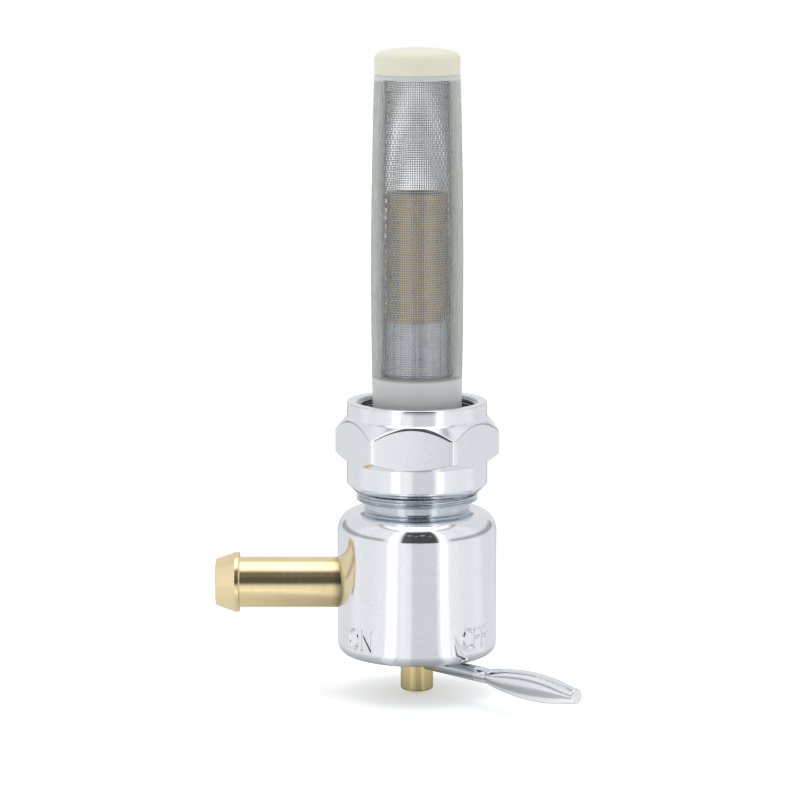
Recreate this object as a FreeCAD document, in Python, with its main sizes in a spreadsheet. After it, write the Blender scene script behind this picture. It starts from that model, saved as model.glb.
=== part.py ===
"""Fuel tap with a strainer, a standpipe, a swivelling tank nut, a hose nipple and a three-way lever.

Millimetres, +Z up. The origin is the centre of the tank joint plane, the top face of the nut.
The hose nipple points along -X and the front of the tap faces -Y.
"""
import FreeCAD, Part
import Sketcher
import math
import os
import re

doc = FreeCAD.newDocument("fuel_tap")

# Driving sizes: heights rise from the tank joint plane, depths fall from it
SIZES = {
    # Strainer
    "strainer_height": 60.7,
    "strainer_top_radius": 7.95,
    "strainer_belly_radius": 8.6,
    "strainer_belly_height": 26.0,
    "strainer_base_radius": 8.35,
    "strainer_wall": 1.0,
    "strainer_top_ring": 0.9,
    "strainer_collar_height": 5.1,
    "strainer_step_height": 1.7,
    "window_angle": 104.0,
    "screen_wall": 0.3,
    "screen_clearance": 0.02,
    "screen_slot_height": 4.85,
    "screen_bar_height": 0.6,
    "screen_slot_angle": 14.9,
    "screen_bar_angle": 2.4,
    "cap_height": 3.9,
    "cap_crown": 1.05,
    "cap_rim_rounding": 1.4,
    "cap_plug_depth": 0.9,
    # Standpipe and spigot
    "standpipe_height": 38.9,
    "standpipe_radius": 5.65,
    "standpipe_wall": 0.9,
    "standpipe_socket_depth": 8.0,
    "spigot_height": 15.3,
    "spigot_radius": 6.3,
    # Tank nut
    "nut_length": 17.0,
    "nut_collar_radius": 13.1,
    "nut_collar_length": 2.9,
    "nut_skirt_radius": 13.2,
    "nut_skirt_length": 4.1,
    "nut_skirt_chamfer": 1.5,
    "nut_across_flats": 27.0,
    "nut_corner_radius": 15.4,
    "nut_corner_top_depth": 5.6,
    "nut_corner_bottom_depth": 9.9,
    "nut_shoulder_step": 0.35,
    "nut_turn": -4.2,
    "nut_mouth_chamfer": 0.7,
    "tank_thread_radius": 11.0,
    "tank_thread_depth": 7.6,
    "body_thread_radius": 11.4,
    "thread_clearance": 0.05,
    # Tank gasket
    "gasket_thickness": 1.5,
    "gasket_radius": 10.7,
    "gasket_clearance": 0.1,
    # Valve body
    "thread_top_depth": 8.5,
    "thread_end_depth": 18.7,
    "thread_lead_chamfer": 0.6,
    "neck_radius": 9.8,
    "neck_rounding": 0.5,
    "body_radius": 14.95,
    "body_top_depth": 20.6,
    "body_bottom_depth": 48.0,
    "body_shoulder_rounding": 4.2,
    "body_ledge_width": 0.4,
    "body_base_rounding": 3.0,
    "chamber_radius": 8.0,
    "chamber_mouth_chamfer": 0.4,
    "passage_radius": 1.4,
    "passage_offset": 3.9,
    "reserve_port_height": 3.6,
    "reserve_roof": 0.8,
    # Hose nipple
    "nipple_radius": 4.77,
    "nipple_bore_radius": 3.25,
    "nipple_inner_end": 9.5,
    "nipple_length": 37.9,
    "barb_radius": 5.65,
    "barb_back": 33.4,
    "barb_land": 0.8,
    "barb_tip_radius": 4.33,
    "nipple_mouth_chamfer": 0.35,
    # Rotary valve
    "seat_thickness": 1.8,
    "seat_clearance": 0.05,
    "seat_pin_radius": 0.8,
    "seat_pin_length": 4.0,
    "seat_pin_offset": 5.6,
    "plug_clearance": 0.05,
    "port_disc_thickness": 3.0,
    "gallery_length": 7.4,
    "gallery_core_radius": 2.5,
    "piston_length": 4.0,
    "seal_section": 1.5,
    "seal_groove_slack": 0.2,
    "seal_running_gap": 0.03,
    "stem_radius": 3.07,
    "stem_reach": 7.3,
    "stem_end_rounding": 0.5,
    "washer_thickness": 0.6,
    "washer_rim_gap": 0.3,
    "spring_height": 1.0,
    "spring_thickness": 0.35,
    "spring_inner_radius": 4.2,
    "spring_outer_radius": 7.4,
    "end_plate_thickness": 2.3,
    "stem_running_clearance": 0.05,
    "ring_recess": 0.7,
    "ring_thickness": 1.0,
    "ring_groove_depth": 0.7,
    "ring_width": 1.4,
    "ring_gap_angle": 40.0,
    "ring_ear_angle": 6.0,
    "ring_ear_radius": 1.5,
    "ring_ear_hole_radius": 0.6,
    # Lever
    "lever_turn": -45.0,
    "lever_rod_radius": 1.45,
    "lever_running_gap": 0.27,
    "lever_hole_clearance": 0.02,
    "lever_tail_length": 4.6,
    "lever_tail_bend_radius": 1.9,
    "lever_tail_bend_angle": 62.0,
    "lever_tail_drop": 0.9,
    "lever_waist_radius": 1.35,
    "lever_neck_length": 18.7,
    "paddle_length": 22.0,
    "paddle_belly_height": 5.3,
    "paddle_tip_height": 3.0,
    "paddle_belly_thickness": 4.2,
    "paddle_tip_thickness": 2.9,
    "paddle_flat_thickness": 3.3,
}

sheet = doc.addObject("Spreadsheet::Sheet", "Sizes")
for row, (name, value) in enumerate(SIZES.items(), start=1):
    sheet.set(f"A{row}", name)
    sheet.set(f"B{row}", str(value))
    sheet.setAlias(f"B{row}", name)
doc.recompute()


def linked(expression):
    """The expression with each size's name pointed at the sheet."""
    return re.sub(r"\b[a-z][a-z_]+\b(?!\()", r"Sizes.\g<0>", str(expression))


def number(expression):
    """What the expression is worth now."""
    return float(sheet.evalExpression(linked(expression)))


def bind(thing, **expressions):
    """Tie properties of an object to the sheet, with __ for a dot in a property's path."""
    for path, expression in expressions.items():
        thing.setExpression(path.replace("__", "."), linked(expression))
    return thing


def place(thing, x="0", y="0", z="0"):
    return bind(thing, Placement__Base__x=x, Placement__Base__y=y, Placement__Base__z=z)


def turned_about(thing, axis, angle):
    """Give the object a turn about an axis, tied to the sheet."""
    thing.Placement = FreeCAD.Placement(thing.Placement.Base, FreeCAD.Rotation(FreeCAD.Vector(*axis), 1))
    return bind(thing, Placement__Rotation__Angle=angle)


def plane(body, role):
    return next(feature for feature in body.Origin.OriginFeatures if feature.Role == role)


def draw_outline(sketch, outline):
    """Draw a closed outline of (radius, height) points.

    A point written ("arc", radius, height) lies on an arc between its neighbours.
    Every point is held by its distances from the sketch's origin, which follow the sheet.
    """
    corners = [point for point in outline if point[0] != "arc"]
    spots = [FreeCAD.Vector(number(x), number(y), 0) for x, y in corners]
    middles = {}
    for index, point in enumerate(outline):
        if point[0] == "arc":
            middles[len([p for p in outline[:index] if p[0] != "arc"]) - 1] = point[1:]
    edges = []
    for index, start in enumerate(spots):
        end = spots[(index + 1) % len(spots)]
        if index in middles:
            through = FreeCAD.Vector(*[number(size) for size in middles[index]], 0)
            arc = Part.Arc(start, through, end)
            edge = sketch.addGeometry(arc, False)
            forward = sketch.getPoint(edge, 1).isEqual(start, 1e-6)
            edges.append((edge, 1, 2) if forward else (edge, 2, 1))
            mark = sketch.addGeometry(Part.Point(through), True)
            hold_point(sketch, mark, 1, *middles[index])
            sketch.addConstraint(hold_on(mark, edge))
        else:
            edges.append((sketch.addGeometry(Part.LineSegment(start, end), False), 1, 2))
    for index, (edge, start_end, far_end) in enumerate(edges):
        following, following_start, _ = edges[(index + 1) % len(edges)]
        sketch.addConstraint(join(edge, far_end, following, following_start))
        hold_point(sketch, edge, start_end, *corners[index])


def join(edge, end, other, other_end):
    return Sketcher.Constraint("Coincident", edge, end, other, other_end)


def hold_on(point, edge):
    return Sketcher.Constraint("PointOnObject", point, 1, edge)


def hold_point(sketch, edge, end, x, y):
    for kind, axis, size in (("DistanceX", -2, x), ("DistanceY", -1, y)):
        if number(size) == 0:
            sketch.addConstraint(Sketcher.Constraint("PointOnObject", edge, end, axis))
        else:
            count = sketch.addConstraint(Sketcher.Constraint(kind, -1, 1, edge, end, number(size)))
            sketch.setExpression(f"Constraints[{count}]", linked(size))


def ring_edges(shape, rings):
    """Names of the round edges about the Z axis at the given (radius, height) pairs."""
    names = []
    for radius, height in rings:
        found = [
            f"Edge{index}"
            for index, edge in enumerate(shape.Edges, start=1)
            if not edge.Degenerated
            and hasattr(edge.Curve, "Radius")
            and abs(edge.Curve.Radius - number(radius)) < 1e-4
            and abs(edge.Curve.Center.z - number(height)) < 1e-4
        ]
        if not found:
            raise RuntimeError(f"no round edge at {radius}, {height}")
        names += found
    return names


def turned(label, outline, foot, rounded=(), chamfered=()):
    """A piece turned about +Z, from an outline whose heights rise from its foot."""
    body = doc.addObject("PartDesign::Body", label)
    sketch = body.newObject("Sketcher::SketchObject", f"{label}_outline")
    sketch.AttachmentSupport = (plane(body, "XZ_Plane"), [""])
    sketch.MapMode = "FlatFace"
    draw_outline(sketch, outline)
    doc.recompute()
    turning = body.newObject("PartDesign::Revolution", f"{label}_turning")
    turning.Profile = sketch
    turning.ReferenceAxis = (sketch, ["V_Axis"])
    turning.Angle = 360
    doc.recompute()
    last = turning
    for kind, groups in (("Fillet", rounded), ("Chamfer", chamfered)):
        for count, (size, rings) in enumerate(groups, start=1):
            edges = ring_edges(last.Shape, rings)
            trim = body.newObject(f"PartDesign::{kind}", f"{label}_{kind.lower()}_{count}")
            trim.Base = (last, edges)
            bind(trim, **{"Radius" if kind == "Fillet" else "Size": size})
            doc.recompute()
            last = trim
    place(body, z=foot)
    return body


def cylinder(label, radius, height, x="0", y="0", z="0"):
    return place(bind(doc.addObject("Part::Cylinder", label), Radius=radius, Height=height), x, y, z)


def lying_cylinder(label, radius, length, x, z):
    """A cylinder along -X that starts at x and lies at height z."""
    rod = bind(doc.addObject("Part::Cylinder", label), Radius=radius, Height=length)
    rod.Placement = FreeCAD.Placement(FreeCAD.Vector(), FreeCAD.Rotation(FreeCAD.Vector(0, 1, 0), -90))
    return place(rod, x=x, z=z)


def torus(label, ring_radius, section_radius, z):
    ring = bind(doc.addObject("Part::Torus", label), Radius1=ring_radius, Radius2=section_radius)
    return place(ring, z=z)


def cut(label, base, tools):
    tool = tools[0]
    if len(tools) > 1:
        tool = doc.addObject("Part::MultiFuse", f"{label}_cuts")
        tool.Shapes = tools
    result = doc.addObject("Part::Cut", label)
    result.Base = base
    result.Tool = tool
    return result


def joined(label, pieces):
    result = doc.addObject("Part::MultiFuse", label)
    result.Shapes = pieces
    result.Refine = True
    return result


# Depths that several pieces share, written once
RING_FOOT = "(body_bottom_depth - ring_recess)"
PLATE_FOOT = f"({RING_FOOT} - ring_thickness)"
SPRING_FOOT = f"({PLATE_FOOT} - end_plate_thickness)"
WASHER_FOOT = f"({SPRING_FOOT} - spring_height)"
PISTON_FOOT = f"({WASHER_FOOT} - washer_thickness)"
PISTON_TOP = f"({PISTON_FOOT} - piston_length)"
GALLERY_TOP = f"({PISTON_TOP} - gallery_length)"
DISC_TOP = f"({GALLERY_TOP} - port_disc_thickness)"
SEAT_TOP = f"({DISC_TOP} - seat_thickness)"
OUTLET_DEPTH = f"({PISTON_TOP} - gallery_length / 2)"
STEM_BOTTOM = "(body_bottom_depth + stem_reach)"
PLUG_RADIUS = "(chamber_radius - plug_clearance)"
LEVER_DEPTH = "(body_bottom_depth + lever_running_gap + lever_rod_radius)"


def make_valve_body():
    """The turned body: spigot, tank thread, neck and barrel, with the valve chamber bored from below."""
    foot = "body_bottom_depth"
    groove_radius = "(chamber_radius + ring_groove_depth)"
    ledge = "body_radius - neck_radius - neck_rounding - body_ledge_width"
    shoulder = ("body_radius", f"{foot} - body_top_depth")
    outline = [
        ("chamber_radius", "0"),
        ("body_radius", "0"),
        ("body_radius", f"{foot} - body_top_depth"),
        ("neck_radius", f"{foot} - body_top_depth"),
        ("neck_radius", f"{foot} - thread_end_depth"),
        ("body_thread_radius", f"{foot} - thread_end_depth"),
        ("body_thread_radius", f"{foot} - thread_top_depth"),
        ("spigot_radius", f"{foot} - thread_top_depth"),
        ("spigot_radius", f"{foot} + spigot_height"),
        ("standpipe_radius", f"{foot} + spigot_height"),
        ("standpipe_radius", f"{foot} + spigot_height - standpipe_socket_depth"),
        ("0", f"{foot} + spigot_height - standpipe_socket_depth"),
        ("0", f"{foot} - {SEAT_TOP}"),
        ("chamber_radius", f"{foot} - {SEAT_TOP}"),
        ("chamber_radius", f"{foot} - {PLATE_FOOT}"),
        (groove_radius, f"{foot} - {PLATE_FOOT}"),
        (groove_radius, f"{foot} - {RING_FOOT}"),
        ("chamber_radius", f"{foot} - {RING_FOOT}"),
    ]
    blank = turned(
        "body_blank",
        outline,
        f"-{foot}",
        rounded=[
            (f"min(body_shoulder_rounding; {ledge})", [shoulder]),
            ("body_base_rounding", [("body_radius", "0")]),
            ("neck_rounding", [("neck_radius", f"{foot} - body_top_depth")]),
        ],
        chamfered=[
            ("thread_lead_chamfer", [("body_thread_radius", f"{foot} - thread_top_depth")]),
            ("chamber_mouth_chamfer", [("chamber_radius", "0")]),
        ],
    )
    roof = f"-{SEAT_TOP}"
    socket_floor = "(spigot_height - standpipe_socket_depth)"
    reserve_top = f"({socket_floor} - reserve_roof)"
    main_rise = f"{socket_floor} + {SEAT_TOP}"
    reserve_rise = f"{reserve_top} + {SEAT_TOP}"
    main_way = cylinder("main_way", "passage_radius", main_rise, x="-passage_offset", z=roof)
    reserve_way = cylinder("reserve_way", "passage_radius", reserve_rise, x="passage_offset", z=roof)
    outside = "passage_offset + spigot_radius"
    port_height = "reserve_port_height"
    reserve_port = lying_cylinder("reserve_port", "passage_radius", "spigot_radius", outside, port_height)
    pin_rise = "seat_pin_length - seat_thickness"
    pin_hole = cylinder("seat_pin_hole", "seat_pin_radius", pin_rise, y="seat_pin_offset", z=roof)
    outlet = f"-{OUTLET_DEPTH}"
    nipple_hole = lying_cylinder("nipple_hole", "nipple_radius", "body_radius", "-nipple_inner_end", outlet)
    outlet_hole = lying_cylinder("outlet_hole", "nipple_bore_radius", "nipple_inner_end", "0", outlet)
    holes = [main_way, reserve_way, reserve_port, pin_hole, nipple_hole, outlet_hole]
    return cut("valve_body", blank, holes)


def make_union_nut():
    """The tank nut: a turned blank with round collars, and a hexagon that cuts only its middle."""
    foot = "nut_length"
    apothem = "(nut_across_flats / 2)"
    joint = f"{foot} - tank_thread_depth"
    body_bore = "(body_thread_radius + thread_clearance)"
    outline = [
        (body_bore, "0"),
        ("nut_skirt_radius - nut_skirt_chamfer", "0"),
        ("nut_skirt_radius", "nut_skirt_chamfer"),
        ("nut_skirt_radius", "nut_skirt_chamfer + nut_skirt_length"),
        (f"{apothem} - nut_shoulder_step", "nut_skirt_chamfer + nut_skirt_length"),
        ("nut_corner_radius", f"{foot} - nut_corner_bottom_depth"),
        ("nut_corner_radius", f"{foot} - nut_corner_top_depth"),
        (f"{apothem} - nut_shoulder_step", f"{foot} - nut_collar_length"),
        ("nut_collar_radius", f"{foot} - nut_collar_length"),
        ("nut_collar_radius", foot),
        ("tank_thread_radius + nut_mouth_chamfer", foot),
        ("tank_thread_radius", f"{foot} - nut_mouth_chamfer"),
        ("tank_thread_radius", joint),
        (body_bore, f"{joint} - thread_clearance"),
    ]
    blank = turned("nut_blank", outline, f"-{foot}")
    hexagon = bind(
        doc.addObject("Part::Prism", "nut_hexagon"),
        Circumradius=f"{apothem} / cos(30)",
        Height=foot,
    )
    hexagon.Polygon = 6
    turned_about(hexagon, (0, 0, 1), "nut_turn")
    place(hexagon, z=f"-{foot}")
    nut = doc.addObject("Part::Common", "union_nut")
    nut.Base = blank
    nut.Tool = hexagon
    return nut


def make_tank_gasket():
    bore = "strainer_base_radius + gasket_clearance"
    rim = "gasket_radius"
    outline = [(bore, "0"), (rim, "0"), (rim, "gasket_thickness"), (bore, "gasket_thickness")]
    return turned("tank_gasket", outline, "-thread_top_depth")


def make_strainer_frame():
    """The moulded frame: a collar pushed on the spigot, two broad ribs and a ring under the cap."""
    foot = "thread_top_depth"
    outline = [
        ("spigot_radius", "0"),
        ("strainer_base_radius", "0"),
        ("strainer_base_radius", foot),
        ("arc", "strainer_belly_radius", f"{foot} + strainer_belly_height"),
        ("strainer_top_radius", f"{foot} + strainer_height"),
        ("strainer_top_radius - strainer_wall", f"{foot} + strainer_height"),
        ("arc", "strainer_belly_radius - strainer_wall", f"{foot} + strainer_belly_height"),
        ("strainer_base_radius - strainer_wall", f"{foot} + strainer_step_height"),
        ("spigot_radius", f"{foot} + strainer_step_height"),
    ]
    shell = turned("strainer_shell", outline, f"-{foot}")
    height = "strainer_height - strainer_top_ring - strainer_collar_height"
    windows = []
    for side, middle in (("front", "270"), ("back", "90")):
        window = doc.addObject("Part::Cylinder", f"{side}_window")
        bind(window, Radius="strainer_belly_radius + strainer_wall", Height=height, Angle="window_angle")
        turned_about(window, (0, 0, 1), f"{middle} - window_angle / 2")
        windows.append(place(window, z="strainer_collar_height"))
    return cut("strainer_frame", shell, windows)


def make_strainer_screen():
    """The screen inside the frame: one thin sleeve with rows of slots in its two windows."""
    foot = "strainer_step_height"
    reach = "strainer_height - cap_plug_depth"
    outer = "(strainer_wall + screen_clearance)"
    inner = f"({outer} + screen_wall)"
    outline = [
        (f"strainer_base_radius - {outer}", "0"),
        (f"strainer_belly_radius - {outer}", f"strainer_belly_height - {foot}"),
        (f"strainer_top_radius - {outer}", f"strainer_height - {foot}"),
        (f"strainer_top_radius - {inner}", f"strainer_height - {foot}"),
        (f"strainer_belly_radius - {inner}", f"strainer_belly_height - {foot}"),
        (f"strainer_base_radius - {inner}", "0"),
    ]
    sleeve = turned("screen_sleeve", outline, foot)
    pitch = "(screen_slot_height + screen_bar_height)"
    turn = "(screen_slot_angle + screen_bar_angle)"
    tall = number(f"{reach} - strainer_collar_height")
    rows = int(tall // number(pitch))
    columns = int(number("window_angle") // number(turn))
    slots = []
    for middle, side in ((270, "front"), (90, "back")):
        for column in range(columns):
            for line in range(rows):
                slot = doc.addObject("Part::Cylinder", f"{side}_slot_{column}_{line}")
                bind(slot, Radius="strainer_belly_radius + strainer_wall", Height="screen_slot_height",
                     Angle="screen_slot_angle")
                across = f"({column} - {columns} / 2) * {turn} + screen_bar_angle / 2"
                turned_about(slot, (0, 0, 1), f"{middle} + {across}")
                place(slot, z=f"strainer_collar_height + screen_bar_height / 2 + {line} * {pitch}")
                slots.append(slot)
    return cut("strainer_screen", sleeve, slots)


def make_strainer_cap():
    """The moulded cap: a short plug inside the screen, a rounded rim and a crowned top."""
    plug = "strainer_top_radius - strainer_wall - screen_clearance - screen_wall"
    rim = "(cap_plug_depth + cap_height)"
    crown_radius = "((strainer_top_radius^2 + cap_crown^2) / (2 * cap_crown))"
    half_way_drop = f"({crown_radius} - sqrt({crown_radius}^2 - (strainer_top_radius / 2)^2))"
    outline = [
        ("0", "0"),
        (plug, "0"),
        (plug, "cap_plug_depth"),
        ("strainer_top_radius", "cap_plug_depth"),
        ("strainer_top_radius", rim),
        ("arc", "strainer_top_radius / 2", f"{rim} + cap_crown - {half_way_drop}"),
        ("0", f"{rim} + cap_crown"),
    ]
    top = ("strainer_top_radius", rim)
    foot = "strainer_height - cap_plug_depth"
    return turned("strainer_cap", outline, foot, rounded=[("cap_rim_rounding", [top])])


def make_standpipe():
    bore = "standpipe_radius - standpipe_wall"
    length = "standpipe_height - spigot_height + standpipe_socket_depth"
    outline = [(bore, "0"), ("standpipe_radius", "0"), ("standpipe_radius", length), (bore, length)]
    return turned("standpipe", outline, "spigot_height - standpipe_socket_depth")


def make_outlet_nipple():
    """The hose nipple, turned with its barb, and laid along -X."""
    length = "nipple_length - nipple_inner_end"
    back = "barb_back - nipple_inner_end"
    outline = [
        ("nipple_bore_radius", "0"),
        ("nipple_radius", "0"),
        ("nipple_radius", back),
        ("barb_radius", back),
        ("barb_radius", f"{back} + barb_land"),
        ("barb_tip_radius", length),
        ("nipple_bore_radius + nipple_mouth_chamfer", length),
        ("nipple_bore_radius", f"{length} - nipple_mouth_chamfer"),
    ]
    nipple = turned("outlet_nipple", outline, "0")
    nipple.Placement = FreeCAD.Placement(FreeCAD.Vector(), FreeCAD.Rotation(FreeCAD.Vector(0, 1, 0), -90))
    return place(nipple, x="-nipple_inner_end", z=f"-{OUTLET_DEPTH}")


def make_port_seat():
    foot = f"-{DISC_TOP}"
    deep = "seat_thickness"
    disc = cylinder("seat_disc", "chamber_radius - seat_clearance", deep, z=foot)
    holes = [
        cylinder("seat_main_port", "passage_radius", deep, x="-passage_offset", z=foot),
        cylinder("seat_reserve_port", "passage_radius", deep, x="passage_offset", z=foot),
        cylinder("seat_pin_notch", "seat_pin_radius", deep, y="seat_pin_offset", z=foot),
    ]
    return cut("port_seat", disc, holes)


def make_seat_pin():
    """The dowel that keeps the seat from turning, sunk below the seat's running face."""
    length = "seat_pin_length - seat_thickness / 2"
    return cylinder("seat_pin", "seat_pin_radius", length, y="seat_pin_offset",
                    z=f"-{DISC_TOP} + seat_thickness / 2")


def make_valve_plug():
    """The turned plug: port disc, outlet gallery, piston and stem, with a port and a cross hole."""
    foot = STEM_BOTTOM
    groove_floor = f"({PLUG_RADIUS} + plug_clearance - seal_running_gap - seal_section)"
    groove = "(seal_section + seal_groove_slack)"
    disc_land = f"((port_disc_thickness - {groove}) / 2)"
    piston_land = f"((piston_length - {groove}) / 2)"
    outline = [
        ("0", "0"),
        ("stem_radius", "0"),
        ("stem_radius", f"{foot} - {PISTON_FOOT}"),
        (PLUG_RADIUS, f"{foot} - {PISTON_FOOT}"),
        (PLUG_RADIUS, f"{foot} - {PISTON_FOOT} + {piston_land}"),
        (groove_floor, f"{foot} - {PISTON_FOOT} + {piston_land}"),
        (groove_floor, f"{foot} - {PISTON_TOP} - {piston_land}"),
        (PLUG_RADIUS, f"{foot} - {PISTON_TOP} - {piston_land}"),
        (PLUG_RADIUS, f"{foot} - {PISTON_TOP}"),
        ("gallery_core_radius", f"{foot} - {PISTON_TOP}"),
        ("gallery_core_radius", f"{foot} - {GALLERY_TOP}"),
        (PLUG_RADIUS, f"{foot} - {GALLERY_TOP}"),
        (PLUG_RADIUS, f"{foot} - {GALLERY_TOP} + {disc_land}"),
        (groove_floor, f"{foot} - {GALLERY_TOP} + {disc_land}"),
        (groove_floor, f"{foot} - {DISC_TOP} - {disc_land}"),
        (PLUG_RADIUS, f"{foot} - {DISC_TOP} - {disc_land}"),
        (PLUG_RADIUS, f"{foot} - {DISC_TOP}"),
        ("0", f"{foot} - {DISC_TOP}"),
    ]
    stem_end = ("stem_radius", "0")
    blank = turned("plug_blank", outline, f"-{foot}", rounded=[("stem_end_rounding", [stem_end])])
    port_foot = f"-{GALLERY_TOP}"
    port = cylinder("plug_port", "passage_radius", "port_disc_thickness", y="-passage_offset", z=port_foot)
    cross = bind(
        doc.addObject("Part::Cylinder", "lever_hole"),
        Radius="lever_rod_radius + lever_hole_clearance",
        Height="4 * stem_radius",
    )
    along_lever(cross, "-2 * stem_radius")
    return cut("valve_plug", blank, [port, cross])


def make_plug_seals():
    ring = "chamber_radius - seal_running_gap - seal_section / 2"
    torus("plug_seal_upper", ring, "seal_section / 2", f"-({DISC_TOP} + {GALLERY_TOP}) / 2")
    torus("plug_seal_lower", ring, "seal_section / 2", f"-({PISTON_TOP} + {PISTON_FOOT}) / 2")


def make_thrust_washer():
    rim = "chamber_radius - washer_rim_gap"
    bore = "stem_radius + stem_running_clearance"
    outline = [(bore, "0"), (rim, "0"), (rim, "washer_thickness"), (bore, "washer_thickness")]
    return turned("thrust_washer", outline, f"-{WASHER_FOOT}")


def make_disc_spring():
    """A coned spring washer that presses the plug on its seat."""
    outline = [
        ("spring_outer_radius", "0"),
        ("spring_outer_radius", "spring_thickness"),
        ("spring_inner_radius", "spring_height"),
        ("spring_inner_radius", "spring_height - spring_thickness"),
    ]
    return turned("disc_spring", outline, f"-{SPRING_FOOT}")


def make_end_plate():
    """The plate that closes the chamber, with a groove for the stem seal."""
    bore = "(stem_radius + stem_running_clearance)"
    groove_floor = "(stem_radius + seal_running_gap + seal_section)"
    land = "((end_plate_thickness - seal_section - seal_groove_slack) / 2)"
    outline = [
        (bore, "0"),
        ("chamber_radius", "0"),
        ("chamber_radius", "end_plate_thickness"),
        (bore, "end_plate_thickness"),
        (bore, f"end_plate_thickness - {land}"),
        (groove_floor, f"end_plate_thickness - {land}"),
        (groove_floor, land),
        (bore, land),
    ]
    return turned("end_plate", outline, f"-{PLATE_FOOT}")


def make_stem_seal():
    ring = "stem_radius + seal_running_gap + seal_section / 2"
    return torus("stem_seal", ring, "seal_section / 2", f"-({SPRING_FOOT} + {PLATE_FOOT}) / 2")


def make_retaining_ring():
    """The sprung ring in the groove under the end plate: an open ring with two eared ends."""
    outer = "(chamber_radius + ring_groove_depth)"
    inner = f"({outer} - ring_width)"
    foot = f"-{RING_FOOT}"
    middle = f"({outer} - ring_width / 2)"
    rim = cut(
        "ring_band",
        cylinder("ring_disc", outer, "ring_thickness", z=foot),
        [cylinder("ring_bore", inner, "ring_thickness", z=foot)],
    )
    gap = bind(
        doc.addObject("Part::Cylinder", "ring_gap"),
        Radius=f"{outer} + ring_width",
        Height="ring_thickness",
        Angle="ring_gap_angle",
    )
    turned_about(gap, (0, 0, 1), "270 - ring_gap_angle / 2")
    place(gap, z=foot)
    open_band = cut("ring_open_band", rim, [gap])
    seat = f"({outer} - ring_groove_depth - ring_ear_radius - plug_clearance)"
    ears = []
    holes = []
    for side, sign in (("left", "-"), ("right", "+")):
        turn = f"(270 {sign} (ring_gap_angle / 2 + ring_ear_angle))"
        x = f"{seat} * cos({turn})"
        y = f"{seat} * sin({turn})"
        ears.append(cylinder(f"ring_{side}_ear", "ring_ear_radius", "ring_thickness", x, y, foot))
        holes.append(cylinder(f"ring_{side}_hole", "ring_ear_hole_radius", "ring_thickness", x, y, foot))
    return cut("retaining_ring", joined("ring_with_ears", [open_band, *ears]), holes)


def lever_frame():
    """A placement whose Z runs along the lever, out from the stem, with its X pointing down."""
    lying = FreeCAD.Rotation(FreeCAD.Vector(0, 1, 0), 90)
    heading = FreeCAD.Rotation(FreeCAD.Vector(0, 0, 1), number("lever_turn"))
    return FreeCAD.Placement(FreeCAD.Vector(), heading * lying)


def on_lever_line(thing, distance, drop="0"):
    """Move a thing to the lever's line, so far out from the stem's axis and so far below."""
    x = f"({distance}) * cos(lever_turn)"
    y = f"({distance}) * sin(lever_turn)"
    return place(thing, x, y, f"-{LEVER_DEPTH} - ({drop})")


def along_lever(thing, distance):
    """Lay a thing along the lever, so far out from the stem's axis."""
    thing.Placement = lever_frame()
    return on_lever_line(thing, distance)


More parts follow.
